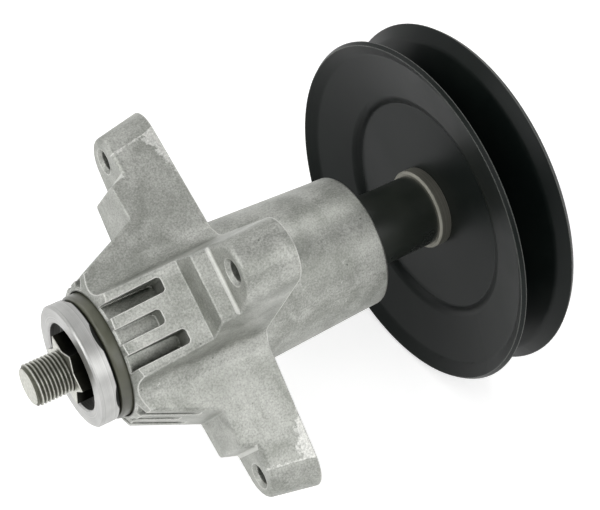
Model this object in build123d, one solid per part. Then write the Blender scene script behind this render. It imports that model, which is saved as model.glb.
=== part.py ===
from build123d import *
from math import acos, atan2, cos, radians, sin, sqrt, tan
import os

# Blade spindle of a mower deck, in millimetres. The mounting face of the four arms is z = 0
# and the shaft runs along Z: the blade end points down (-Z), the belt pulley is up (+Z).

# Ball bearings: one sealed deep-groove pair, 17 x 40 x 12
bearing_bore_d = 17.0
race_wall = 2.25            # ring wall behind the bottom of a race
ball_d = 6.75
ball_count = 8
ball_gap = 0.125            # between a ball and its races
shoulder_gap = 2.3          # from the ball circle to the ring shoulders
cage_t = 2.4                # radial thickness
cage_web = 0.6              # left on each side of a ball pocket
pocket_gap = 0.15           # between a ball and its cage pocket
seal_t = 1.0
seal_inset = 0.4            # below the faces of the rings
seal_room = 0.475           # between cage and seal
seal_lip_gap = 0.3          # between seal lip and inner ring

# Housing: nose on the blade side, tube on the pulley side
nose_reach = 32.9           # from mounting face to the front of the nose
nose_rim_w = 0.8            # front face of the nose, round the dust shield's recess
nose_rim_chamfer = 0.6
nose_bevel_w = 10.0         # bevel where the gussets meet the rim
nose_bevel_h = 4.5
tube_reach = 74.1           # from mounting face to the end of the tube
tube_wall = 6.0             # round the upper bearing, at the end of the tube
tube_taper = 2.0            # growth of the tube's radius down to the arms
tube_lip = 1.0              # tube end past the upper bearing
tube_edge_r = 0.8
tube_foot_r = 1.5           # fillet where the tube leaves the arms
bearing_shoulder = 2.0      # step that stops each bearing
shield_recess_depth = 3.2

# Housing: arms, ears and deck pilot
arm_count = 4
bolt_circle_d = 127.0
bolt_hole_d = 7.4
bolt_countersink = 1.3      # width and depth of the cone at the mouth of a bolt hole
ear_r = 11.0                # round end of an arm, at the mounting face
ear_set_back = 2.6          # centre of that round end, inside the bolt circle
ear_lean = 10.0             # degrees, the round end leans out towards the back
arm_t = 18.5                # mounting face to back face
arm_root_half_w = 17.3      # half width where the arm leaves the nose
arm_corner_r = 9.0          # concave corner between neighbouring arms
arm_draft = 2.5             # degrees
ear_edge_r = 1.8            # round edge of the mounting faces
gusset_edge_r = 1.5         # long edges of the gussets
cast_edge_r = 0.6           # other cast edges on the blade side
pilot_d = 103.0             # across the steps that locate in the deck hole
pilot_h = 6.1
pilot_lean = 2.1            # the step is this much wider at the mounting face
gusset_run = 12.1104        # from the nose out to the gusset's foot on the step
pilot_root_r = 1.0

# Housing: pockets in the sloping gussets, drawn out towards the blade, down to the nose
pocket_w = 5.5
pocket_pitch = 9.7
side_pocket_stop = 6.6      # end of the side pockets below the top of the step
middle_pocket_stop = 10.9
pocket_corner_r = 1.4

# Blade end of the shaft
thread_d = 15.875           # 5/8 in
blade_thread_len = 14.0
thread_chamfer = 1.3
star_tip_r = 13.2
star_valley_r = 8.8
star_points = 6
star_phase = 20.9           # degrees, where the shaft stands at rest
star_stand_out = 2.6        # star past the face of the seat ring
star_edge = 0.5

# Blade seat ring and dust shield
seat_ring_d = 46.0
seat_ring_h = 7.0
seat_recess_d = 33.1
seat_web_t = 2.2
seat_edge = 0.6
seat_bevel_w = 1.0          # six slanted bevels on the ring's back, in line with the star
seat_bevel_h = 1.6
shield_past_ring = 0.4      # shield's radius past the seat ring's
shield_gap = 0.6            # round the shield, in its recess
shield_sheet = 1.6
shield_rim_h = 5.2
shield_round = 1.2
shield_hub_wall = 2.6
shield_hub_len = 7.8        # from seat ring to lower bearing
shield_front_gap = 0.5      # behind the seat ring

# Pulley end
spacer_wall = 2.5
sleeve_d = 28.4
sleeve_len = 33.2
hub_d = 32.0
hub_collar_h = 5.0
hub_edge = 0.8
hub_spigot_wall = 3.0
pulley_d = 140.0
pulley_sheet = 2.0
groove_depth = 26.6         # from the rim in to the step of the web
web_step_w = 1.6            # pressed step round the web
web_step_h = 1.9
groove_half_angle = 15.0    # degrees
lip_w = 5.0                 # outer band of the rim, bent away from the groove
lip_angle = 35.0            # degrees
web_step_round = 2.6        # inside the groove, where the web steps down
web_step_foot_r = 1.2
pulley_bend_round = 5.0     # where the lip bends
washer_d = 33.0
washer_t = 2.4
washer_gap = 0.35           # between washer and thread
nut_across_flats = 23.8     # 15/16 in
nut_h = 13.9
nut_chamfer = 1.1
shaft_past_nut = 2.7

# How far a cut runs past the face it opens, and the tolerance for picking edges by their place
overshoot = 1.0
fuzz = 0.01

# Worked out from the sizes above
ball_r = ball_d / 2
race_r = ball_r + ball_gap
bearing_bore_r = bearing_bore_d / 2
ball_circle_r = bearing_bore_r + race_wall + race_r
bearing_r = ball_circle_r + race_r + race_wall
inner_shoulder_r = ball_circle_r - shoulder_gap
outer_shoulder_r = ball_circle_r + shoulder_gap
cage_half_w = ball_r + pocket_gap + cage_web
seal_inner_face = cage_half_w + seal_room
bearing_half_w = seal_inner_face + seal_t + seal_inset
bearing_w = 2 * bearing_half_w

seat_ring_r = seat_ring_d / 2
shield_r = seat_ring_r + shield_past_ring
shield_recess_r = shield_r + shield_gap
nose_rim_r = shield_recess_r + nose_rim_w
nose_r = nose_rim_r + nose_rim_chamfer
tube_end_r = bearing_r + tube_wall
tube_root_r = tube_end_r + tube_taper
nose_front = -nose_reach
lower_bearing_z = nose_front + shield_recess_depth
upper_bearing_z = tube_reach - tube_lip - bearing_w
lower_bearing_top = lower_bearing_z + bearing_w
upper_bearing_top = upper_bearing_z + bearing_w

bolt_circle_r = bolt_circle_d / 2
bolt_hole_r = bolt_hole_d / 2
pilot_r = pilot_d / 2
pilot_foot_r = pilot_r + pilot_lean
gusset_top_r = nose_r + gusset_run

thread_r = thread_d / 2
shield_hub_r = bearing_bore_r + shield_hub_wall
seat_back = lower_bearing_z - shield_hub_len
seat_front = seat_back - seat_ring_h
star_front = seat_front - star_stand_out
star_back = seat_back - seat_web_t
shaft_bottom = star_front - blade_thread_len

sleeve_top = upper_bearing_top + sleeve_len
web_bottom = sleeve_top + hub_collar_h
pulley_mid = web_bottom + pulley_sheet
web_top = pulley_mid + pulley_sheet
nut_bottom = web_top + washer_t
shaft_top = nut_bottom + nut_h + shaft_past_nut
hub_spigot_r = bearing_bore_r + hub_spigot_wall
pulley_r = pulley_d / 2
web_step_r = pulley_r - groove_depth
groove_bottom_r = web_step_r + web_step_w
lip_r = pulley_r - lip_w


def turned(*points):
    """Solid of revolution about Z from (radius, z) points."""
    outline = make_face(Polyline(*[(r, 0, z) for r, z in points], close=True))
    return revolve(outline, Axis.Z)


def ring(outer_r, inner_r, low, high):
    """Plain ring about Z."""
    return turned((inner_r, low), (outer_r, low), (outer_r, high), (inner_r, high))


def round_about(solid, count):
    """Copies of a solid, evenly spaced about Z."""
    return [Rot(0, 0, 360 * k / count) * solid for k in range(count)]


# Housing

def arm_plan(level):
    """Section of all arms at a level: sides widened by the draft, round ends leaning out."""
    grow = level * tan(radians(arm_draft))
    end_r = ear_r + grow
    root_half = arm_root_half_w + grow
    end_x = bolt_circle_r - ear_set_back + level * tan(radians(ear_lean))
    reach = end_x - nose_r
    slant = acos(end_r / sqrt(root_half**2 + reach**2)) - atan2(reach, root_half)
    centre_half = root_half + nose_r * tan(slant)
    touch_x = end_x + end_r * sin(slant)
    touch_y = end_r * cos(slant)
    sides = make_face(Polyline(
        (0, -centre_half), (touch_x, -touch_y), (touch_x, touch_y), (0, centre_half), close=True))
    arm = sides + Pos(end_x, 0) * Circle(end_r)
    plan = Sketch() + round_about(arm, arm_count)
    corners = plan.vertices().sort_by(lambda v: v.center().length)[:arm_count]
    return (Pos(0, 0, level) * fillet(corners, arm_corner_r)).face()


def arm_side():
    """Side view of one arm as a slab: gusset, deck pilot step and ear."""
    half_w = arm_root_half_w + arm_corner_r
    end_x = bolt_circle_r + 2 * ear_r
    outline = make_face(Polyline(
        (0, 0, nose_front), (nose_r, 0, nose_front), (gusset_top_r, 0, -pilot_h),
        (pilot_r, 0, -pilot_h), (pilot_foot_r, 0, 0), (end_x, 0, 0), (end_x, 0, arm_t),
        (0, 0, arm_t), close=True))
    foot = outline.vertices().sort_by_distance((pilot_foot_r, 0, 0))[0]
    outline = fillet(foot, pilot_root_r)
    return extrude(outline, half_w, both=True)


def gusset_pockets():
    """Cuts for the three pockets of one gusset, from inside the nose outwards."""
    front = nose_front - overshoot
    depth = pilot_r - bearing_r
    pockets = []
    for place, stop in ((-1, side_pocket_stop), (0, middle_pocket_stop), (1, side_pocket_stop)):
        top = -pilot_h - stop
        mouth = Plane(origin=(bearing_r, place * pocket_pitch, (front + top) / 2),
                      x_dir=(0, 1, 0), z_dir=(1, 0, 0))
        outline = Rectangle(pocket_w, top - front)
        outline = fillet(outline.vertices().group_by(Axis.Y)[-1], pocket_corner_r)
        pockets.append(extrude(mouth * outline, depth))
    return pockets


def bolt_hole():
    """Bolt hole of one ear, with the cone at its mouth on the mounting face."""
    top = arm_t + overshoot
    cone_r = bolt_hole_r + bolt_countersink
    hole = turned(
        (0, -overshoot), (cone_r, -overshoot), (cone_r, 0), (bolt_hole_r, bolt_countersink),
        (bolt_hole_r, top), (0, top))
    return Pos(bolt_circle_r, 0, 0) * hole


def edges_between(solid, low, high, inner_r, outer_r):
    """Edges that lie between two levels, with their middle between two radii."""
    chosen = []
    for edge in solid.edges():
        box = edge.bounding_box()
        middle_r = Vector(edge.center().X, edge.center().Y).length
        if box.min.Z > low - fuzz and box.max.Z < high + fuzz and inner_r < middle_r < outer_r:
            chosen.append(edge)
    return chosen


def make_arms():
    """The four arms with their gussets and steps, blade-side edges rounded as cast."""
    arms = loft([arm_plan(nose_front), arm_plan(arm_t)], ruled=True)
    arms &= Part() + round_about(arm_side(), arm_count)
    wide_r = bolt_circle_r + 2 * ear_r
    arms = fillet(edges_between(arms, 0, 0, pilot_foot_r + 2 * pilot_root_r, wide_r), ear_edge_r)
    slope_edges = [edge for edge in edges_between(arms, nose_front, -pilot_h, nose_r, wide_r)
                   if edge.bounding_box().size.Z > (nose_reach - pilot_h) / 2]
    arms = fillet(slope_edges, gusset_edge_r)
    arms = fillet(edges_between(arms, -pilot_h, -pilot_h, nose_r, wide_r), cast_edge_r)
    bevel_top = nose_front + nose_bevel_h
    return arms & turned(
        (0, nose_front), (nose_rim_r, nose_front), (nose_rim_r + nose_bevel_w, bevel_top),
        (wide_r, bevel_top), (wide_r, arm_t), (0, arm_t))


def make_barrel():
    """Nose and tapered tube about the shaft, with the foot where the tube leaves the arms."""
    foot_r = tube_root_r + tube_foot_r
    outline = make_face(Polyline(
        (0, 0, nose_front), (nose_rim_r, 0, nose_front), (nose_r, 0, nose_front + nose_rim_chamfer),
        (nose_r, 0, 0), (foot_r, 0, arm_t), (tube_root_r, 0, arm_t),
        (tube_end_r, 0, tube_reach), (0, 0, tube_reach), close=True))
    foot = outline.vertices().sort_by_distance((tube_root_r, 0, arm_t))[0]
    outline = fillet(foot, tube_foot_r)
    end = outline.vertices().sort_by_distance((tube_end_r, 0, tube_reach))[0]
    return revolve(fillet(end, tube_edge_r), Axis.Z)


def make_housing():
    bore_r = bearing_r - bearing_shoulder
    mouth = nose_front - overshoot
    end = tube_reach + overshoot
    bore = turned(
        (0, mouth), (shield_recess_r, mouth), (shield_recess_r, lower_bearing_z),
        (bearing_r, lower_bearing_z), (bearing_r, lower_bearing_top), (bore_r, lower_bearing_top),
        (bore_r, upper_bearing_z), (bearing_r, upper_bearing_z), (bearing_r, end), (0, end))
    arms = make_arms()
    for pocket in gusset_pockets():
        arms -= round_about(pocket, arm_count)
    arms -= round_about(bolt_hole(), arm_count)
    return arms + make_barrel() - bore


# Bearings, made about the middle of their width

def race():
    """Torus that the balls run in."""
    return Torus(ball_circle_r, race_r)


def bearing_outer_ring():
    return ring(bearing_r, outer_shoulder_r, -bearing_half_w, bearing_half_w) - race()


def bearing_inner_ring():
    return ring(inner_shoulder_r, bearing_bore_r, -bearing_half_w, bearing_half_w) - race()


def bearing_balls():
    return round_about(Pos(ball_circle_r, 0, 0) * Sphere(ball_r), ball_count)


def bearing_cage():
    blank = ring(ball_circle_r + cage_t / 2, ball_circle_r - cage_t / 2, -cage_half_w, cage_half_w)
    pocket = Pos(ball_circle_r, 0, 0) * Rot(0, 90, 0) * Cylinder(ball_r + pocket_gap, 2 * cage_t)
    return blank - round_about(pocket, ball_count)


def bearing_seal():
    """Seal on the upper side, held in the outer ring."""
    return ring(outer_shoulder_r, inner_shoulder_r + seal_lip_gap,
                seal_inner_face, seal_inner_face + seal_t)


# Shaft and what is clamped to it

def make_shaft():
    chamfer_r = thread_r - thread_chamfer
    core = turned(
        (0, shaft_bottom), (chamfer_r, shaft_bottom), (thread_r, shaft_bottom + thread_chamfer),
        (thread_r, star_back), (bearing_bore_r, star_back), (bearing_bore_r, web_top),
        (thread_r, web_top), (thread_r, shaft_top - thread_chamfer), (chamfer_r, shaft_top),
        (0, shaft_top))
    corners = []
    for k in range(2 * star_points):
        reach = star_valley_r if k % 2 else star_tip_r
        turn = radians(star_phase + 180 * k / star_points)
        corners.append((reach * cos(turn), reach * sin(turn)))
    star = extrude(Pos(0, 0, star_front) * make_face(Polyline(*corners, close=True)),
                   star_back - star_front)
    trim_r = star_tip_r - star_edge
    trim = turned((0, star_front), (trim_r, star_front), (star_tip_r, star_front + star_edge),
                  (star_tip_r, star_back), (0, star_back))
    return core + (star & trim)


def make_seat_ring():
    """Turned cup, its back cut by a six-sided cone into bevels that run out on the rim."""
    recess_r = seat_recess_d / 2
    back_r = seat_ring_r - seat_bevel_w
    lean = seat_bevel_w / seat_bevel_h
    cone = [
        Pos(0, 0, z) * Rot(0, 0, star_phase + 180 / star_points) * RegularPolygon(
            back_r + lean * (seat_back - z), star_points, major_radius=False)
        for z in (seat_front - overshoot, seat_back + overshoot)]
    return loft(cone, ruled=True) & turned(
        (bearing_bore_r, star_back), (recess_r, star_back), (recess_r, seat_front + seat_edge),
        (recess_r + seat_edge, seat_front), (seat_ring_r - seat_edge, seat_front),
        (seat_ring_r, seat_front + seat_edge), (seat_ring_r, seat_back - seat_edge),
        (seat_ring_r - seat_edge, seat_back), (bearing_bore_r, seat_back))


def make_dust_shield():
    front = seat_back + shield_front_gap
    back = front + shield_rim_h
    inner_r = shield_r - shield_sheet
    outline = make_face(Polyline(
        (bearing_bore_r, 0, seat_back), (shield_hub_r, 0, seat_back), (shield_hub_r, 0, front),
        (shield_r, 0, front), (shield_r, 0, back), (inner_r, 0, back),
        (inner_r, 0, front + shield_sheet), (shield_hub_r, 0, front + shield_sheet),
        (shield_hub_r, 0, lower_bearing_z), (bearing_bore_r, 0, lower_bearing_z), close=True))
    outer_corner = outline.vertices().sort_by_distance((shield_r, 0, front))[0]
    outline = fillet(outer_corner, shield_round)
    return revolve(outline, Axis.Z)


def make_pulley_half():
    """Pressed half below the middle plane: flat web with a step, groove wall, lip at the rim."""
    wall = tan(radians(groove_half_angle))
    lip = tan(radians(lip_angle))
    lip_z = -web_step_h - (lip_r - groove_bottom_r) * wall
    groove_side = Polyline(
        (hub_spigot_r, 0, 0), (web_step_r, 0, 0), (groove_bottom_r, 0, -web_step_h),
        (lip_r, 0, lip_z), (pulley_r, 0, lip_z - lip_w * lip))
    bends = ((web_step_r, web_step_round), (groove_bottom_r, web_step_foot_r), (lip_r, pulley_bend_round))
    for bend_r, radius in bends:
        corner = groove_side.vertices().sort_by(lambda v: abs(v.X - bend_r))[0]
        groove_side = fillet(corner, radius)
    sheet = offset(groove_side, -pulley_sheet, side=Side.RIGHT)
    return revolve(make_face(sheet), Axis.Z)


def make_hub():
    hub_r = hub_d / 2
    return turned(
        (bearing_bore_r, sleeve_top), (hub_r - hub_edge, sleeve_top), (hub_r, sleeve_top + hub_edge),
        (hub_r, web_bottom), (hub_spigot_r, web_bottom), (hub_spigot_r, web_top),
        (bearing_bore_r, web_top))


def make_nut():
    top = nut_bottom + nut_h
    corner_r = nut_across_flats / 2 / cos(radians(30))
    low_r = corner_r - nut_chamfer / tan(radians(30))
    hexagon = Pos(0, 0, nut_bottom) * RegularPolygon(corner_r, 6)
    crown = turned(
        (thread_r, nut_bottom), (low_r, nut_bottom), (corner_r, nut_bottom + nut_chamfer),
        (corner_r, top - nut_chamfer), (low_r, top), (thread_r, top))
    return extrude(hexagon, nut_h) & crown


pulley_half = make_pulley_half()
nodes = {
    "spindle_housing": make_housing(),
    "spindle_shaft": make_shaft(),
    "blade_seat_ring": make_seat_ring(),
    "dust_shield": make_dust_shield(),
    "bearing_spacer_tube": ring(
        bearing_bore_r + spacer_wall, bearing_bore_r, lower_bearing_top, upper_bearing_z),
    "pulley_sleeve": ring(sleeve_d / 2, bearing_bore_r, upper_bearing_top, sleeve_top),
    "pulley_hub": make_hub(),
    "pulley_lower_half": Pos(0, 0, pulley_mid) * pulley_half,
    "pulley_upper_half": Pos(0, 0, pulley_mid) * mirror(pulley_half, about=Plane.XY),
    "pulley_washer": ring(washer_d / 2, thread_r + washer_gap, web_top, nut_bottom),
    "pulley_nut": make_nut(),
}
for end, low in (("lower", lower_bearing_z), ("upper", upper_bearing_z)):
    place = Pos(0, 0, low + bearing_half_w)
    seal = bearing_seal()
    nodes[f"{end}_bearing_outer_ring"] = place * bearing_outer_ring()
    nodes[f"{end}_bearing_inner_ring"] = place * bearing_inner_ring()
    nodes[f"{end}_bearing_balls"] = Compound([place * ball for ball in bearing_balls()])
    nodes[f"{end}_bearing_cage"] = place * bearing_cage()
    nodes[f"{end}_bearing_pulley_seal"] = place * seal
    nodes[f"{end}_bearing_blade_seal"] = place * mirror(seal, about=Plane.XY)

os.makedirs("parts", exist_ok=True)
for name, solid in nodes.items():
    export_step(solid, f"parts/{name}.step")
print(f"{len(nodes)} nodes, shaft from {shaft_bottom:.2f} to {shaft_top:.2f}")
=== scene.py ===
# %% [markdown]
# # Dressing a mower blade spindle
# The part is a finished assembly: a die-cast housing with four bolt arms, a shaft with a star
# drive, a turned seat ring, a dust shield and a pressed belt pulley. Its sizes are settled, so
# this lesson only adds what the eye sees: the camera, the screw threads, the finish of every
# surface, and the light.

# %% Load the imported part
from math import cos, pi, radians, sin

import bmesh
import bpy
from mathutils import Matrix, Vector


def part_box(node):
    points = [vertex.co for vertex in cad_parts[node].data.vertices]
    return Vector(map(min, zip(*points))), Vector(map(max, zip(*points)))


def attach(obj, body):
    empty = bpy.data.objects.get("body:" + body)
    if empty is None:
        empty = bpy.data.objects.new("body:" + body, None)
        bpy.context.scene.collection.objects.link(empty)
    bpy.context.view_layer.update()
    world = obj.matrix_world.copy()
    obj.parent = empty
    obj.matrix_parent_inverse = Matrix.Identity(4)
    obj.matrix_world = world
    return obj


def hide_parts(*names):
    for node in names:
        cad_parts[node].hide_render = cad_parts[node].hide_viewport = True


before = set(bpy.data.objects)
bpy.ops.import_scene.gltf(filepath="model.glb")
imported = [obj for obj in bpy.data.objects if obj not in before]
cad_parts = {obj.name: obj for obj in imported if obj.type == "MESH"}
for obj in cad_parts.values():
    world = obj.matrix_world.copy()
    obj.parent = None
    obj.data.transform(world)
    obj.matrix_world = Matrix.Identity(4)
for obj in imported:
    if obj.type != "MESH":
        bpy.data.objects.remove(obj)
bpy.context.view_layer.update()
MM = 0.001

# %% [markdown]
# ## The camera
# A product photo is taken from close by with a long lens, so near parts look a little larger.
# The place and the direction below give the same perspective as the picture: the shaft runs from
# the lower left to the upper right, and the blade end is nearest. A camera's own axes are
# right, up and backwards, so the rotation is built from two directions and their cross product.

# %% Camera
CAMERA_PLACE = Vector((50.35, -514.23, -183.42)) * MM
CAMERA_LOOK = Vector((-0.09345, 0.90433, 0.41648)).normalized()
CAMERA_UP = Vector((-0.88853, -0.26449, 0.37492)).normalized()
CAMERA_LENS_MM = 90.9
SENSOR_MM = 36.0
NEAR_CLIP_MM = 10

camera_right = CAMERA_LOOK.cross(CAMERA_UP).normalized()
camera_up = camera_right.cross(CAMERA_LOOK)
camera_axes = Matrix((camera_right, camera_up, -CAMERA_LOOK)).transposed()
camera_data = bpy.data.cameras.new("product_camera")
camera_data.lens = CAMERA_LENS_MM
camera_data.sensor_width = SENSOR_MM
camera_data.clip_start = NEAR_CLIP_MM * MM
camera = bpy.data.objects.new("product_camera", camera_data)
camera.matrix_world = Matrix.Translation(CAMERA_PLACE) @ camera_axes.to_4x4()
bpy.context.collection.objects.link(camera)
bpy.context.scene.camera = camera
print("camera distance from the origin:", round(CAMERA_PLACE.length, 3), "m")

# %% [markdown]
# ## Helpers for materials
# Every finish is a small graph of nodes. One function turns an sRGB hex colour into the linear
# numbers that shaders need, one adds a node with its settings and links, and one starts a
# material and returns the coordinates of the object itself, in metres. A texture's scale counts
# features in a metre, so the last one works it out from their size.

# %% Material helpers
def linear(hex_colour):
    """sRGB hex such as #808080 to linear RGBA."""
    channels = [int(hex_colour[k:k + 2], 16) / 255 for k in (1, 3, 5)]
    rgb = [c / 12.92 if c <= 0.04045 else ((c + 0.055) / 1.055) ** 2.4 for c in channels]
    return (*rgb, 1.0)


def add(tree, kind, inputs=(), **settings):
    """Adds a node, sets its properties, and sets or links its inputs."""
    node = tree.nodes.new(kind)
    for name, value in settings.items():
        setattr(node, name, value)
    for socket, value in dict(inputs).items():
        if isinstance(value, bpy.types.NodeSocket):
            tree.links.new(value, node.inputs[socket])
        else:
            node.inputs[socket].default_value = value
    return node


def start_material(name, **shader_values):
    """A new material: its node tree, its shader and its Object coordinates."""
    material = bpy.data.materials.new(name)
    material.use_nodes = True
    tree = material.node_tree
    shader = tree.nodes["Principled BSDF"]
    for socket, value in shader_values.items():
        shader.inputs[socket.replace("_", " ")].default_value = value
    where = add(tree, "ShaderNodeTexCoord").outputs["Object"]
    return material, tree, shader, where


def per_metre(size_mm):
    """Texture scale that gives features of about this size."""
    return 1 / (size_mm * MM)


# Inputs of a colour Mix node, by their place: factor, first colour, second colour; and its output
MIX_BY, MIX_A, MIX_B, MIXED = 0, 6, 7, 2
print("helpers ready")

# %% [markdown]
# ## Die-cast aluminium
# The housing was cast in a steel die and tumbled with shot. Cast aluminium is a metal, but its
# skin is matt: a grey with cloudy flow marks some fifteen millimetres across, a fine speckle from
# the shot, and a few open pores. Such marks could be painted by hand, but noise puts them on
# every side at once. The pores are the cells of a Voronoi pattern, dark at their centres.

# %% Skin of the casting
FLOW_MM = 15.0
SPECKLE_MM = 0.7
PORE_SPACING_MM = 7.0


def cast_skin(tree, where):
    """Grey of the bare casting, then its speckle, the speckle's brightness, and its pores."""
    flow = add(tree, "ShaderNodeTexNoise", {
        "Vector": where, "Scale": per_metre(FLOW_MM), "Detail": 5.0, "Roughness": 0.6,
        "Distortion": 0.6})
    flow_level = add(tree, "ShaderNodeMapRange", {
        "Value": flow.outputs["Fac"], "From Min": 0.36, "From Max": 0.64})
    base = add(tree, "ShaderNodeMix", {
        MIX_BY: flow_level.outputs[0], MIX_A: linear("#93958f"), MIX_B: linear("#b2b3ae")},
        data_type="RGBA")
    speckle = add(tree, "ShaderNodeTexNoise", {
        "Vector": where, "Scale": per_metre(SPECKLE_MM), "Detail": 3.0, "Roughness": 0.7})
    speckle_level = add(tree, "ShaderNodeMapRange", {
        "Value": speckle.outputs["Fac"], "From Min": 0.3, "From Max": 0.7,
        "To Min": 0.64, "To Max": 1.28})
    speckled = add(tree, "ShaderNodeVectorMath", {
        0: base.outputs[MIXED], "Scale": speckle_level.outputs[0]}, operation="SCALE")
    pores = add(tree, "ShaderNodeTexVoronoi", {
        "Vector": where, "Scale": per_metre(PORE_SPACING_MM)})
    pore_mask = add(tree, "ShaderNodeMapRange", {
        "Value": pores.outputs["Distance"], "From Min": 0.03, "From Max": 0.07,
        "To Min": 0.5, "To Max": 1.0})
    pored = add(tree, "ShaderNodeVectorMath", {
        0: speckled.outputs[0], "Scale": pore_mask.outputs[0]}, operation="SCALE")
    return pored.outputs[0], speckle.outputs["Fac"], speckle_level.outputs[0], pore_mask.outputs[0]


print("flow marks", FLOW_MM, "mm, speckle", SPECKLE_MM, "mm, pores", PORE_SPACING_MM, "mm apart")

# %% [markdown]
# Tumbling and handling rub the edges bright, and the same brightening is a painted highlight
# along them. A Bevel node gives the normal of a softly rounded edge, and where that departs from
# the true normal, the surface turns. Inner corners turn too, so an Ambient Occlusion node keeps
# the shine to edges that stand in the open.

# %% Rubbed edges with a painted highlight
WORN_AND_HIGHLIT_EDGE_MM = 0.8
NOOK_REACH_MM = 2.5
RUBBED_AND_HIGHLIT_METAL = "#ecece8"


def rounded_edges(tree, radius_mm):
    """Normal of softly rounded edges, and its match with the true normal, 1 on a flat face."""
    rounded = add(tree, "ShaderNodeBevel", {"Radius": radius_mm * MM}, samples=6).outputs[0]
    geometry = add(tree, "ShaderNodeNewGeometry")
    match = add(tree, "ShaderNodeVectorMath", {
        0: rounded, 1: geometry.outputs["Normal"]}, operation="DOT_PRODUCT")
    return rounded, match.outputs["Value"]


def rub_and_highlight_edges(tree, colour):
    """Colour with edges bright from wear and a painted highlight, the rounded normal, and openness."""
    rounded, match = rounded_edges(tree, WORN_AND_HIGHLIT_EDGE_MM)
    nook = add(tree, "ShaderNodeAmbientOcclusion", {"Distance": NOOK_REACH_MM * MM}, samples=6)
    open_edge = add(tree, "ShaderNodeMapRange", {
        "Value": nook.outputs["AO"], "From Min": 0.72, "From Max": 0.92})
    wear_and_highlight = add(tree, "ShaderNodeMapRange", {
        "Value": match, "From Min": 0.99, "From Max": 0.92, "To Max": 0.8})
    worn_and_highlit_edge = add(tree, "ShaderNodeMath", {
        0: wear_and_highlight.outputs[0], 1: open_edge.outputs[0]}, operation="MULTIPLY")
    # Painted highlight: the bright edge colour stands in for light along the edges as well as wear
    rubbed_and_highlit = add(tree, "ShaderNodeMix", {
        MIX_BY: worn_and_highlit_edge.outputs[0], MIX_A: colour, MIX_B: linear(RUBBED_AND_HIGHLIT_METAL)},
        data_type="RGBA")
    return rubbed_and_highlit.outputs[MIXED], rounded, nook.outputs["AO"]


print("edges rubbed over", WORN_AND_HIGHLIT_EDGE_MM, "mm")

# %% [markdown]
# Each arm has a step that fits the hole in the mower's deck, and a narrow strip at the step's
# foot is made bright: partly rubbed by the deck, partly a painted highlight on its fillet. The
# steps face along X and Y, so the larger of the two distances from the shaft finds the strip on
# all four arms, and the height keeps it to the mounting face.

# %% Rubbed foot of the step, with a painted highlight
STEP_FOOT_MM = 53.9
FOOT_HALF_W_MM = 0.95
FOOT_LEVEL_MM = -0.5
FOOT_HALF_H_MM = 0.6
FOOT_SHARE = 0.4


def rub_and_highlight_step_foot(tree, where, distance, colour):
    """Colour with a bright strip where each step leaves its mounting face: wear and painted highlight.
    """
    along_arm = add(tree, "ShaderNodeMath", {
        0: distance.outputs["X"], 1: distance.outputs["Y"]}, operation="MAXIMUM")
    level = add(tree, "ShaderNodeSeparateXYZ", {0: where})
    at_foot = add(tree, "ShaderNodeMath", {
        0: along_arm.outputs[0], 1: STEP_FOOT_MM * MM, 2: FOOT_HALF_W_MM * MM}, operation="COMPARE")
    at_face = add(tree, "ShaderNodeMath", {
        0: level.outputs["Z"], 1: FOOT_LEVEL_MM * MM, 2: FOOT_HALF_H_MM * MM}, operation="COMPARE")
    # Painted highlight on the fillet at the step's foot, besides rubbing by the deck
    strip = add(tree, "ShaderNodeMath", {
        0: at_foot.outputs[0], 1: at_face.outputs[0]}, operation="MULTIPLY")
    share = add(tree, "ShaderNodeMath", {0: strip.outputs[0], 1: FOOT_SHARE}, operation="MULTIPLY")
    stepped = add(tree, "ShaderNodeMix", {
        MIX_BY: share.outputs[0], MIX_A: colour, MIX_B: linear(RUBBED_AND_HIGHLIT_METAL)}, data_type="RGBA")
    return stepped.outputs[MIXED]


print("strip at", STEP_FOOT_MM, "mm from the shaft")

# %% [markdown]
# Flash is the thin fin of metal that leaks between the die halves. A press sheared it off two of
# the arms and left torn bright patches. They follow two lines on the arm's side: its back edge,
# and the leaning line where the flat side meets the round end. Each line gives a level that
# falls off with distance. A jagged noise is added, and what passes a threshold is torn.

# %% Sheared flash
ARM_BACK_MM = 18.5
BACK_BAND_MM = 10.0
END_LINE_MM = 62.6
END_LINE_LEAN = 0.18
END_LINE_BAND_MM = 3.0
END_FADE_MM = 1.2
FLASH_STARTS_MM = 42.0
FLASH_FULL_MM = 62.0
SIDE_STARTS_MM = 7.0
SIDE_FULL_MM = 9.0
TEAR_MM = 3.0


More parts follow.
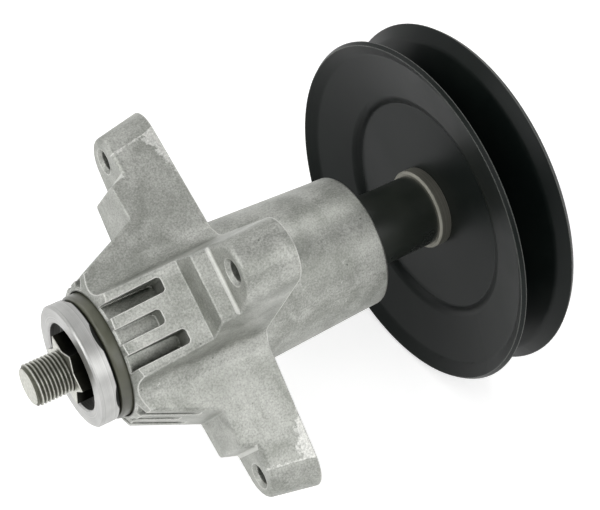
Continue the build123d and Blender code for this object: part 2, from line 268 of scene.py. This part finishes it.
def flash_band(tree, distance):
    """Level that is high along the two torn lines and low elsewhere."""
    near_back = add(tree, "ShaderNodeMapRange", {
        "Value": distance.outputs["Z"], "From Min": (ARM_BACK_MM - BACK_BAND_MM) * MM,
        "From Max": ARM_BACK_MM * MM, "To Min": -0.32, "To Max": 0.3})
    end_line = add(tree, "ShaderNodeMath", {
        0: distance.outputs["Z"], 1: END_LINE_LEAN, 2: END_LINE_MM * MM}, operation="MULTIPLY_ADD")
    past_line = add(tree, "ShaderNodeMath", {
        0: distance.outputs["X"], 1: end_line.outputs[0]}, operation="SUBTRACT")
    before_line = add(tree, "ShaderNodeMapRange", {
        "Value": past_line.outputs[0], "From Min": -END_LINE_BAND_MM * MM, "From Max": 0.0,
        "To Min": -0.32, "To Max": 0.04})
    on_end = add(tree, "ShaderNodeMapRange", {
        "Value": past_line.outputs[0], "From Min": 0.0, "From Max": END_FADE_MM * MM,
        "To Min": 0.0, "To Max": -0.6})
    far_out = add(tree, "ShaderNodeMapRange", {
        "Value": distance.outputs["X"], "From Min": FLASH_STARTS_MM * MM,
        "From Max": FLASH_FULL_MM * MM, "To Min": -0.4, "To Max": 0.08})
    on_side = add(tree, "ShaderNodeMapRange", {
        "Value": distance.outputs["Y"], "From Min": SIDE_STARTS_MM * MM,
        "From Max": SIDE_FULL_MM * MM, "To Min": -0.5, "To Max": 0.0})
    nearest = add(tree, "ShaderNodeMath", {
        0: near_back.outputs[0], 1: before_line.outputs[0]}, operation="MAXIMUM")
    reach = add(tree, "ShaderNodeMath", {
        0: far_out.outputs[0], 1: on_side.outputs[0]}, operation="ADD")
    on_flat = add(tree, "ShaderNodeMath", {0: reach.outputs[0], 1: on_end.outputs[0]}, operation="ADD")
    return add(tree, "ShaderNodeMath", {
        0: nearest.outputs[0], 1: on_flat.outputs[0]}, operation="ADD").outputs[0]


def shear_flash(tree, where, distance, colour, speckle_level):
    """Colour with torn bright patches, which keep the casting's speckle."""
    tear = add(tree, "ShaderNodeTexNoise", {
        "Vector": where, "Scale": per_metre(TEAR_MM), "Detail": 7.0, "Roughness": 0.8})
    torn = add(tree, "ShaderNodeMath", {
        0: flash_band(tree, distance), 1: tear.outputs["Fac"]}, operation="ADD")
    torn_mask = add(tree, "ShaderNodeMapRange", {
        "Value": torn.outputs[0], "From Min": 0.52, "From Max": 0.58, "To Max": 0.75})
    bright = add(tree, "ShaderNodeVectorMath", {
        0: linear("#d8d8d4")[:3], "Scale": speckle_level}, operation="SCALE")
    sheared = add(tree, "ShaderNodeMix", {
        MIX_BY: torn_mask.outputs[0], MIX_A: colour, MIX_B: bright.outputs[0]}, data_type="RGBA")
    return sheared.outputs[MIXED]


print("tears about", TEAR_MM, "mm across, from", FLASH_STARTS_MM, "mm outwards")

# %% [markdown]
# The layers go together in one material. The shot can't reach into nooks and pockets, so there
# the skin is smoother, which gives the pockets their glints; there the colour is also darkened,
# which is painted shade. The speckle makes the rest more or less rough, and together with the
# pores it makes the bump.

# %% Housing finish
SPECKLE_DEPTH_MM = 0.12
PORE_DEPTH_MM = 0.2


def as_cast_aluminium():
    material, tree, shader, where = start_material("as_cast_aluminium", Metallic=1.0)
    bare, speckle, speckle_level, pore_mask = cast_skin(tree, where)
    rubbed_and_highlit, rounded, openness = rub_and_highlight_edges(tree, bare)
    either_side = add(tree, "ShaderNodeVectorMath", {0: where}, operation="ABSOLUTE")
    distance = add(tree, "ShaderNodeSeparateXYZ", {0: either_side.outputs[0]})
    stepped = rub_and_highlight_step_foot(tree, where, distance, rubbed_and_highlit)
    sheared = shear_flash(tree, where, distance, stepped, speckle_level)
    # Painted shade: the Ambient Occlusion level darkens the colour in nooks and pockets
    painted_nook_shade = add(tree, "ShaderNodeMapRange", {
        "Value": openness, "From Min": 0.3, "From Max": 0.85, "To Min": 0.76, "To Max": 1.0})
    final = add(tree, "ShaderNodeVectorMath", {0: sheared, "Scale": painted_nook_shade.outputs[0]}, operation="SCALE")
    skin = add(tree, "ShaderNodeMapRange", {
        "Value": speckle, "From Min": 0.3, "From Max": 0.7, "To Min": 0.42, "To Max": 0.58})
    burnish = add(tree, "ShaderNodeMapRange", {
        "Value": openness, "From Min": 0.35, "From Max": 0.8, "To Min": 0.5, "To Max": 1.0})
    roughness = add(tree, "ShaderNodeMath", {
        0: skin.outputs[0], 1: burnish.outputs[0]}, operation="MULTIPLY")
    grain = add(tree, "ShaderNodeBump", {
        "Height": speckle, "Strength": 0.35, "Distance": SPECKLE_DEPTH_MM * MM, "Normal": rounded})
    pitted = add(tree, "ShaderNodeBump", {
        "Height": pore_mask, "Strength": 0.5, "Distance": PORE_DEPTH_MM * MM,
        "Normal": grain.outputs[0]})
    tree.links.new(final.outputs[0], shader.inputs["Base Color"])
    tree.links.new(roughness.outputs[0], shader.inputs["Roughness"])
    tree.links.new(pitted.outputs[0], shader.inputs["Normal"])
    return material


cast_finish = as_cast_aluminium()
print("made", cast_finish.name)

# %% [markdown]
# ## Turned steel
# The seat ring, the shaft and the bearing rings were cut on a lathe. The tool leaves a fine
# spiral, so the metal shows rings on its flat faces and lines round its cylinders. Radius plus
# height grows along both, so one noise drawn over that sum gives both kinds of line. A real feed
# of about 0.1 mm is too fine to show, so the lines are drawn wider. On the seat ring, the floor
# of its recess and the bevels on its back are painted dark grey: painted shade, where they lie
# in shadow.

# %% Lathe-turned finish
FEED_LINE_MM = 0.45
FEED_DEPTH_MM = 0.03
SMEAR_MM = 9.0
TURNED_EDGE_MM = 0.25
FACING_ALONG = 0.3


def from_axis(tree, where):
    """Distance of each place from the shaft's axis."""
    flat = add(tree, "ShaderNodeVectorMath", {0: where, 1: (1.0, 1.0, 0.0)}, operation="MULTIPLY")
    return add(tree, "ShaderNodeVectorMath", {0: flat.outputs[0]}, operation="LENGTH").outputs["Value"]


def paint_shade_past(tree, where, height, limit, colour):
    """Colour with painted shade, dark grey, on faces across the axis that lie past this height."""
    facing = add(tree, "ShaderNodeSeparateXYZ", {0: where.node.outputs["Normal"]})
    lean = add(tree, "ShaderNodeMath", {0: facing.outputs["Z"]}, operation="ABSOLUTE")
    across = add(tree, "ShaderNodeMath", {0: lean.outputs[0], 1: FACING_ALONG}, operation="GREATER_THAN")
    past = add(tree, "ShaderNodeMath", {0: height, 1: limit}, operation="GREATER_THAN")
    # Painted shade: these faces lie in the ring's recess and behind it, where shadow falls
    black = add(tree, "ShaderNodeMath", {
        0: across.outputs[0], 1: past.outputs[0]}, operation="MULTIPLY")
    return add(tree, "ShaderNodeMix", {
        MIX_BY: black.outputs[0], MIX_A: colour.outputs[MIXED], MIX_B: linear("#4a4b4a")},
        data_type="RGBA")


def turned_steel(name, dark, light, roughness, line_depth, shade_past=None):
    """Steel with tool lines; faces across the axis get painted shade past a height, if one is given."""
    material, tree, shader, where = start_material(name, Metallic=1.0, Roughness=roughness)
    height = add(tree, "ShaderNodeSeparateXYZ", {0: where}).outputs["Z"]
    along = add(tree, "ShaderNodeMath", {0: from_axis(tree, where), 1: height}, operation="ADD")
    lines = add(tree, "ShaderNodeTexNoise", {
        "W": along.outputs[0], "Scale": per_metre(FEED_LINE_MM), "Detail": 2.0}, noise_dimensions="1D")
    smear = add(tree, "ShaderNodeTexNoise", {
        "Vector": where, "Scale": per_metre(SMEAR_MM), "Detail": 3.0})
    tone = add(tree, "ShaderNodeMath", {
        0: lines.outputs["Fac"], 1: smear.outputs["Fac"]}, operation="ADD")
    tone_level = add(tree, "ShaderNodeMapRange", {
        "Value": tone.outputs[0], "From Min": 0.7, "From Max": 1.3})
    colour = add(tree, "ShaderNodeMix", {
        MIX_BY: tone_level.outputs[0], MIX_A: linear(dark), MIX_B: linear(light)}, data_type="RGBA")
    if shade_past is not None:
        colour = paint_shade_past(tree, where, height, shade_past, colour)
    corner = add(tree, "ShaderNodeBevel", {"Radius": TURNED_EDGE_MM * MM}, samples=4)
    grooves = add(tree, "ShaderNodeBump", {
        "Height": lines.outputs["Fac"], "Strength": line_depth, "Distance": FEED_DEPTH_MM * MM,
        "Normal": corner.outputs[0]})
    tree.links.new(colour.outputs[MIXED], shader.inputs["Base Color"])
    tree.links.new(grooves.outputs[0], shader.inputs["Normal"])
    return material


print("tool lines drawn", FEED_LINE_MM, "mm apart")

# %% [markdown]
# One function serves five steels, which differ in brightness, gloss and the depth of their
# lines. The ring and the bearing rings are bright, the hub is plain and rather matt, the spacer
# is drawn tube, and the nut and washer are zinc plated.

# %% The turned steels
RING_FRONT_MM = 1.5

seat_low, seat_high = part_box("blade_seat_ring")
ring_finish = turned_steel(
    "bright_turned_steel", "#a3a3a1", "#bdbdbb", 0.4, 0.15,
    shade_past=seat_low[2] + RING_FRONT_MM * MM)
hub_finish = turned_steel("plain_turned_steel", "#86857c", "#9c9b92", 0.6, 0.25)
ground_finish = turned_steel("ground_bearing_steel", "#b4b6b8", "#cfd1d2", 0.18, 0.1)
spacer_finish = turned_steel("drawn_steel_tube", "#77786f", "#8d8e86", 0.38, 0.15)
plated_finish = turned_steel("zinc_plated_steel", "#9b9c97", "#bcbdb8", 0.34, 0.12)
print("turned finishes ready")

# %% [markdown]
# ## Screw thread steel
# The crests are painted bright and the roots dark: a painted highlight on the crests and painted
# shade in the roots. The distance from the shaft's axis tells crest from root, so it mixes the
# two. The end face is clean, and the sides of the star are dark.

# %% Thread finish
THREAD_R = 7.9375 * MM
THREADS_PER_INCH = 18
INCH = 25.4 * MM
PITCH = INCH / THREADS_PER_INCH
THREAD_DEPTH = 0.6134 * PITCH  # of a unified thread on a screw
ROOT_R = THREAD_R - THREAD_DEPTH
STAR_STAND_OUT = 2.6 * MM
STAR_BEVEL = 0.35 * MM
ROOT_SHADE_SHARE = 0.25  # of the thread's depth, from the root
CREST_SHARE = 0.95
OIL_SMEAR_MM = 1.2
END_FACE_MM = 0.2
CLEAR_OF_THREAD_MM = 0.3

shaft_low, shaft_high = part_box("spindle_shaft")
star_front = seat_low[2] - STAR_STAND_OUT


def rolled_thread_steel():
    material, tree, shader, where = start_material("thread_steel_painted_light", Metallic=1.0)
    radius = from_axis(tree, where)
    # Painted highlight on the crests and painted shade in the roots, mixed by the distance from the axis
    crest = add(tree, "ShaderNodeMapRange", {
        "Value": radius, "From Min": ROOT_R + ROOT_SHADE_SHARE * THREAD_DEPTH,
        "From Max": ROOT_R + CREST_SHARE * THREAD_DEPTH})
    smear = add(tree, "ShaderNodeTexNoise", {
        "Vector": where, "Scale": per_metre(OIL_SMEAR_MM), "Detail": 4.0})
    smear_level = add(tree, "ShaderNodeMapRange", {
        "Value": smear.outputs["Fac"], "From Min": 0.3, "From Max": 0.7,
        "To Min": 0.78, "To Max": 1.1})
    height = add(tree, "ShaderNodeSeparateXYZ", {0: where})
    at_tip = add(tree, "ShaderNodeMath", {
        0: height.outputs["Z"], 1: shaft_low[2] + END_FACE_MM * MM}, operation="LESS_THAN")
    bright = add(tree, "ShaderNodeMath", {
        0: crest.outputs[0], 1: at_tip.outputs[0]}, operation="MAXIMUM")
    bare = add(tree, "ShaderNodeMix", {
        MIX_BY: bright.outputs[0], MIX_A: linear("#66665c"), MIX_B: linear("#c6c6be")},
        data_type="RGBA")
    # The star's sides, past the thread and behind the star's front, are dark
    past_thread = add(tree, "ShaderNodeMath", {
        0: radius, 1: THREAD_R + CLEAR_OF_THREAD_MM * MM}, operation="GREATER_THAN")
    behind_front = add(tree, "ShaderNodeMath", {
        0: height.outputs["Z"], 1: star_front + STAR_BEVEL}, operation="GREATER_THAN")
    black_side = add(tree, "ShaderNodeMath", {
        0: past_thread.outputs[0], 1: behind_front.outputs[0]}, operation="MULTIPLY")
    colour = add(tree, "ShaderNodeMix", {
        MIX_BY: black_side.outputs[0], MIX_A: bare.outputs[MIXED], MIX_B: linear("#24241f")},
        data_type="RGBA")
    toned = add(tree, "ShaderNodeVectorMath", {
        0: colour.outputs[MIXED], "Scale": smear_level.outputs[0]}, operation="SCALE")
    gloss = add(tree, "ShaderNodeMapRange", {
        "Value": crest.outputs[0], "To Min": 0.5, "To Max": 0.36})
    tree.links.new(toned.outputs[0], shader.inputs["Base Color"])
    tree.links.new(gloss.outputs[0], shader.inputs["Roughness"])
    return material


thread_finish = rolled_thread_steel()
print("thread pitch", round(PITCH / MM, 3), "mm")

# %% [markdown]
# ## Dark coatings
# The pulley halves were dipped in black electro-coat, the sleeve is black oxide over turned
# steel and the shield is a stamped cup with an olive-black coat. All are treated as dielectric
# films: a dark colour with a satin gloss, slightly uneven, and thin at the edges, where the
# metal shows; the lighter edges are also a painted highlight. The edges come from the Bevel node
# again. On the pulley, the distance from the axis finds the pressed step of its web, and bump
# draws that step a little wider and softer. The seals of the bearings are plain black rubber, and
# the same function serves them.

# %% Coated finishes
COAT_RIPPLE_MM = 1.6
RIPPLE_DEPTH_MM = 0.1
COAT_CLOUD_MM = 24.0
STEP_HALF_W_MM = 2.4
STEP_SWELL_MM = 1.3
PULLEY_STEP_R_MM = 44.4


def pressed_step(tree, where, step_r, normal):
    """Normal of a soft step at this distance from the axis."""
    slope = add(tree, "ShaderNodeMapRange", {
        "Value": from_axis(tree, where), "From Min": step_r - STEP_HALF_W_MM * MM,
        "From Max": step_r + STEP_HALF_W_MM * MM}, interpolation_type="SMOOTHSTEP")
    return add(tree, "ShaderNodeBump", {
        "Height": slope.outputs[0], "Strength": 1.0, "Distance": STEP_SWELL_MM * MM,
        "Normal": normal}).outputs[0]


def satin_coat(name, dark, light, gloss_low, gloss_high, edge_colour, edge_mm, shine=0.5, step_r=None):
    """Dark film, its edges bare and painted as a highlight, with a pressed step if a radius is given."""
    material, tree, shader, where = start_material(name, Specular_IOR_Level=shine)
    cloud = add(tree, "ShaderNodeTexNoise", {
        "Vector": where, "Scale": per_metre(COAT_CLOUD_MM), "Detail": 4.0, "Roughness": 0.55})
    cloud_level = add(tree, "ShaderNodeMapRange", {
        "Value": cloud.outputs["Fac"], "From Min": 0.35, "From Max": 0.65})
    coat = add(tree, "ShaderNodeMix", {
        MIX_BY: cloud_level.outputs[0], MIX_A: linear(dark), MIX_B: linear(light)}, data_type="RGBA")
    normal, match = rounded_edges(tree, edge_mm)
    wear_and_highlight = add(tree, "ShaderNodeMapRange", {
        "Value": match, "From Min": 0.98, "From Max": 0.86, "To Max": 0.8})
    # Painted highlight: the lighter edge colour is partly bare metal and partly stands in for light
    colour = add(tree, "ShaderNodeMix", {
        MIX_BY: wear_and_highlight.outputs[0], MIX_A: coat.outputs[MIXED], MIX_B: linear(edge_colour)},
        data_type="RGBA")
    gloss = add(tree, "ShaderNodeMapRange", {
        "Value": cloud.outputs["Fac"], "From Min": 0.35, "From Max": 0.65,
        "To Min": gloss_low, "To Max": gloss_high})
    ripple = add(tree, "ShaderNodeTexNoise", {
        "Vector": where, "Scale": per_metre(COAT_RIPPLE_MM), "Detail": 2.0})
    if step_r is not None:
        normal = pressed_step(tree, where, step_r, normal)
    skin = add(tree, "ShaderNodeBump", {
        "Height": ripple.outputs["Fac"], "Strength": 0.08, "Distance": RIPPLE_DEPTH_MM * MM,
        "Normal": normal})
    tree.links.new(colour.outputs[MIXED], shader.inputs["Base Color"])
    tree.links.new(gloss.outputs[0], shader.inputs["Roughness"])
    tree.links.new(skin.outputs[0], shader.inputs["Normal"])
    return material


pulley_finish = satin_coat(
    "black_electrocoat", "#0d1211", "#141917", 0.32, 0.4, "#8c8e8a", 0.7, shine=0.15,
    step_r=PULLEY_STEP_R_MM * MM)
sleeve_finish = satin_coat("black_oxide", "#1c211d", "#2a2e28", 0.26, 0.34, "#4a4a45", 0.3, shine=0.9)
shield_finish = satin_coat(
    "olive_black_coat", "#34352d", "#5e5f50", 0.28, 0.36, "#6b6b60", 0.3, shine=0.6)
seal_finish = satin_coat("moulded_nitrile", "#1a1a1a", "#222222", 0.5, 0.6, "#2c2c2c", 0.2)
print("coats ready")

# %% [markdown]
# ## Giving each CAD piece its finish
# The solids already have the right shape, so they only get materials. The names of the pieces
# say which finish belongs where.

# %% Assign finishes
FINISH_OF = {
    "spindle_housing": cast_finish, "blade_seat_ring": ring_finish, "dust_shield": shield_finish,
    "bearing_spacer_tube": spacer_finish, "pulley_sleeve": sleeve_finish, "pulley_hub": hub_finish,
    "pulley_lower_half": pulley_finish, "pulley_upper_half": pulley_finish,
    "pulley_washer": plated_finish, "pulley_nut": plated_finish, "spindle_shaft": thread_finish,
}
for name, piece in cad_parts.items():
    finish = FINISH_OF.get(name, seal_finish if name.endswith("seal") else ground_finish)
    piece.data.materials.clear()
    piece.data.materials.append(finish)
print("finished", len(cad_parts), "pieces")

# %% [markdown]
# ## The threaded shaft
# The solid shaft has plain ends, because a thread is a matter of looks. This piece replaces it:
# the same journal and star drive, and a real helical thread at each end. A screw thread is one
# short profile, root, flank, crest, flank, carried round and along the axis by the spin
# operator. Both ends are trimmed with a plane and closed, and the tip's rim is turned to a cone.

# %% Thread by spinning a profile
STEPS_PER_TURN = 40
SPARE_TURNS = 2
MERGE_WITHIN = 0.01 * MM
THREAD_CHAMFER = 1.3 * MM


def cut_flat(bm, height, keep_above):
    """Trims the mesh at a height and closes the cut."""
    cut = bmesh.ops.bisect_plane(
        bm, geom=bm.verts[:] + bm.edges[:] + bm.faces[:], plane_co=(0, 0, height), plane_no=(0, 0, 1),
        clear_inner=keep_above, clear_outer=not keep_above)
    edges = [item for item in cut["geom_cut"] if isinstance(item, bmesh.types.BMEdge)]
    return bmesh.ops.edgeloop_fill(bm, edges=edges)["faces"]


def screw_thread(low, high, tip_is_low):
    """Closed bmesh of a right-hand thread between two heights, chamfered at its tip."""
    bm = bmesh.new()
    start = low - SPARE_TURNS * PITCH
    turns = int((high - low) / PITCH) + 2 * SPARE_TURNS + 1
    # Root and crest each have a flat an eighth of the pitch wide
    profile = (
        (ROOT_R, 0), (ROOT_R, PITCH / 8), (THREAD_R, PITCH / 2), (THREAD_R, PITCH * 5 / 8),
        (ROOT_R, PITCH))
    verts = [bm.verts.new((r, 0, start + z)) for r, z in profile]
    edges = [bm.edges.new(pair) for pair in zip(verts, verts[1:])]
    bmesh.ops.spin(
        bm, geom=verts + edges, cent=(0, 0, 0), axis=(0, 0, 1), dvec=(0, 0, PITCH / STEPS_PER_TURN),
        angle=2 * pi * turns, steps=turns * STEPS_PER_TURN, use_merge=False)
    bmesh.ops.remove_doubles(bm, verts=bm.verts[:], dist=MERGE_WITHIN)
    tip = low if tip_is_low else high
    caps = cut_flat(bm, low, True) + cut_flat(bm, high, False)
    for vert in bm.verts:
        allowed = THREAD_R - THREAD_CHAMFER + abs(vert.co.z - tip)
        radius = vert.co.xy.length
        if radius > allowed:
            vert.co.x *= allowed / radius
            vert.co.y *= allowed / radius
    bmesh.ops.recalc_face_normals(bm, faces=bm.faces[:])
    print("thread", len(bm.faces), "faces, caps", len(caps))
    return bm


print("a turn of thread has", STEPS_PER_TURN, "steps")

# %% [markdown]
# The star that drives the blade is a twelve-cornered outline pulled up into a prism, with a
# small bevel round its front and along its sides. The journal between the threads is a plain
# turned cylinder.

# %% Star and journal
STAR_POINTS = 6
STAR_PHASE_DEG = 20.9
STAR_TIP_R = 13.2 * MM
STAR_VALLEY_R = 8.8 * MM
SEAT_WEB = 2.2 * MM
JOURNAL_R = 8.5 * MM
JOURNAL_SIDES = 72

star_back = seat_high[2] - SEAT_WEB
journal_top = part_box("pulley_washer")[0][2]


def star_drive():
    bm = bmesh.new()
    corners = []
    for k in range(2 * STAR_POINTS):
        reach = STAR_VALLEY_R if k % 2 else STAR_TIP_R
        turn = radians(STAR_PHASE_DEG + 180 * k / STAR_POINTS)
        corners.append(bm.verts.new((reach * cos(turn), reach * sin(turn), star_front)))
    front = bm.faces.new(corners)
    grown = bmesh.ops.extrude_face_region(bm, geom=[front], use_keep_orig=True)
    raised = [item for item in grown["geom"] if isinstance(item, bmesh.types.BMVert)]
    bmesh.ops.translate(bm, verts=raised, vec=(0, 0, star_back - star_front))
    bmesh.ops.recalc_face_normals(bm, faces=bm.faces[:])
    sharp = [e for e in bm.edges if any(v not in raised for v in e.verts)]
    bmesh.ops.bevel(
        bm, geom=sharp, offset=STAR_BEVEL, offset_type="OFFSET", affect="EDGES", segments=2, profile=0.5,
        material=-1, clamp_overlap=True)
    return bm


def journal():
    bm = bmesh.new()
    bmesh.ops.create_cone(
        bm, cap_ends=True, segments=JOURNAL_SIDES, radius1=JOURNAL_R, radius2=JOURNAL_R,
        depth=journal_top - star_back, matrix=Matrix.Translation((0, 0, (journal_top + star_back) / 2)))
    return bm


print("journal", round((journal_top - star_back) / MM, 1), "mm long")

# %% [markdown]
# The four closed meshes become one object, as the real shaft is one bar. Each thread reaches a
# pitch into its neighbour, so no gap shows where they meet. The object then rides on the
# turning body and stands for the plain shaft.

# %% The joined shaft
def join_pieces(name, parts, finish):
    """One object from several closed bmeshes."""
    mesh = bpy.data.meshes.new(name)
    whole = bmesh.new()
    for part in parts:
        part.to_mesh(mesh)
        part.free()
        whole.from_mesh(mesh)
    whole.to_mesh(mesh)
    whole.free()
    mesh.materials.append(finish)
    piece = bpy.data.objects.new(name, mesh)
    bpy.context.collection.objects.link(piece)
    return piece


blade_thread = screw_thread(shaft_low[2], star_front + PITCH, True)
pulley_thread = screw_thread(journal_top - PITCH, shaft_high[2], False)
threaded_shaft = join_pieces(
    "threaded_shaft", [blade_thread, star_drive(), journal(), pulley_thread], thread_finish)
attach(threaded_shaft, "rotor")
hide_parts("spindle_shaft")
print("shaft", len(threaded_shaft.data.polygons), "faces")

# %% [markdown]
# ## The floor
# The part is shown with its shaft level and the pulley's rim just above a white table. The
# table is one plane, and it shows only from its upper side, so that a view from below isn't
# blocked. For the camera and for mirrored rays it glows a little, which keeps it white and still
# leaves the shadow.

# %% Floor
LIES_UP = Vector((-0.598, -0.802, 0.0)).normalized()
FLOOR_BELOW_AXIS = 70.6 * MM
FLOOR_HALF = 2.5
FLOOR_GLOW = 0.6


def mirrored_rays(tree, path):
    """1 for a ray that a shiny or a clear surface sends on."""
    return add(tree, "ShaderNodeMath", {
        0: path.outputs["Is Glossy Ray"], 1: path.outputs["Is Transmission Ray"]},
        operation="MAXIMUM").outputs[0]


def floor_paper():
    material = bpy.data.materials.new("white_table_paper")
    material.use_nodes = True
    tree = material.node_tree
    tree.nodes.clear()
    path = add(tree, "ShaderNodeLightPath")
    side = add(tree, "ShaderNodeNewGeometry")
    paper = add(tree, "ShaderNodeBsdfDiffuse", {"Color": linear("#e6e6e6")})
    seen = add(tree, "ShaderNodeMath", {
        0: path.outputs["Is Camera Ray"], 1: mirrored_rays(tree, path)}, operation="MAXIMUM")
    lift = add(tree, "ShaderNodeMath", {0: seen.outputs[0], 1: FLOOR_GLOW}, operation="MULTIPLY")
    glow = add(tree, "ShaderNodeEmission", {"Strength": lift.outputs[0]})
    both = add(tree, "ShaderNodeAddShader", {0: paper.outputs[0], 1: glow.outputs[0]})
    clear = add(tree, "ShaderNodeBsdfTransparent")
    chosen = add(tree, "ShaderNodeMixShader", {
        0: side.outputs["Backfacing"], 1: both.outputs[0], 2: clear.outputs[0]})
    add(tree, "ShaderNodeOutputMaterial", {"Surface": chosen.outputs[0]})
    return material


floor_bm = bmesh.new()
lay_flat = LIES_UP.to_track_quat("Z", "Y").to_matrix().to_4x4()
bmesh.ops.create_grid(
    floor_bm, x_segments=1, y_segments=1, size=FLOOR_HALF,
    matrix=Matrix.Translation(-LIES_UP * FLOOR_BELOW_AXIS) @ lay_flat)
floor_mesh = bpy.data.meshes.new("table_top")
floor_bm.to_mesh(floor_mesh)
floor_bm.free()
floor_mesh.materials.append(floor_paper())
floor = bpy.data.objects.new("table_top", floor_mesh)
bpy.context.collection.objects.link(floor)
print("floor normal", [round(value, 3) for value in floor_mesh.polygons[0].normal])

# %% [markdown]
# ## The world
# Metal shows what surrounds it, so the light is a white tent: the world is white behind the part
# and darker on the side where the picture's camera stands, which gives the turned ring its dark
# and bright bands. Mirrored rays see it at full strength, and matt surfaces get a smaller share.
# The camera itself sees plain white.

# %% White tent
TENT_SHARE = 0.46
TENT_DARK = 0.15
TENT_WHITE_FROM = 0.6


def white_tent():
    world = bpy.data.worlds.new("white_tent")
    bpy.context.scene.world = world
    world.use_nodes = True
    tree = world.node_tree
    tree.nodes.clear()
    direction = add(tree, "ShaderNodeTexCoord").outputs["Generated"]
    away = add(tree, "ShaderNodeVectorMath", {0: direction, 1: CAMERA_LOOK}, operation="DOT_PRODUCT")
    level = add(tree, "ShaderNodeMapRange", {
        "Value": away.outputs["Value"], "From Min": -1.0, "From Max": TENT_WHITE_FROM,
        "To Min": TENT_DARK, "To Max": 1.0})
    path = add(tree, "ShaderNodeLightPath")
    share = add(tree, "ShaderNodeMapRange", {"Value": mirrored_rays(tree, path), "To Min": TENT_SHARE})
    strength = add(tree, "ShaderNodeMath", {
        0: level.outputs[0], 1: share.outputs[0]}, operation="MULTIPLY")
    light = add(tree, "ShaderNodeBackground", {
        "Color": linear("#ffffff"), "Strength": strength.outputs[0]})
    white = add(tree, "ShaderNodeBackground", {"Color": linear("#ffffff"), "Strength": 1.0})
    shown = add(tree, "ShaderNodeMixShader", {
        0: path.outputs["Is Camera Ray"], 1: light.outputs[0], 2: white.outputs[0]})
    add(tree, "ShaderNodeOutputWorld", {"Surface": shown.outputs[0]})
    return world


tent = white_tent()
print("made", tent.name)

# %% [markdown]
# ## The lamps
# Five soft square lamps stand in front, on both sides, behind on the left and above, placed by
# the picture's own right and up. Their light falls about where a photographer's softboxes would
# throw it. A large lamp close by gives soft shadows, and a small one a clearer highlight.

# %% Softboxes
PART_MIDDLE = Vector((0.0, 0.0, 25 * MM))
# Right, up and towards the camera, then the lamp's width, all in metres, and its power in watts
SOFTBOXES = {
    "front_softbox": (0.0, 0.05, 1.0, 1.0, 4.4),
    "right_softbox": (0.75, 0.0, 0.7, 0.7, 3.0),
    "left_softbox": (-0.8, 0.0, 0.65, 0.7, 3.6),
    "back_left_softbox": (-0.65, 0.75, 0.2, 0.7, 1.8),
    "top_softbox": (0.35, 0.9, 0.25, 0.4, 1.7),
}

for name, (right, up, towards, width, watts) in SOFTBOXES.items():
    place = PART_MIDDLE + camera_right * right + camera_up * up - CAMERA_LOOK * towards
    facing = (place - PART_MIDDLE).to_track_quat("Z", "Y").to_matrix().to_4x4()
    lamp_data = bpy.data.lights.new(name, "AREA")
    lamp_data.energy = watts
    lamp_data.size = width
    lamp = bpy.data.objects.new(name, lamp_data)
    lamp.matrix_world = Matrix.Translation(place) @ facing
    bpy.context.collection.objects.link(lamp)
bpy.context.scene.view_settings.view_transform = "Standard"
print("lamps:", len(SOFTBOXES))
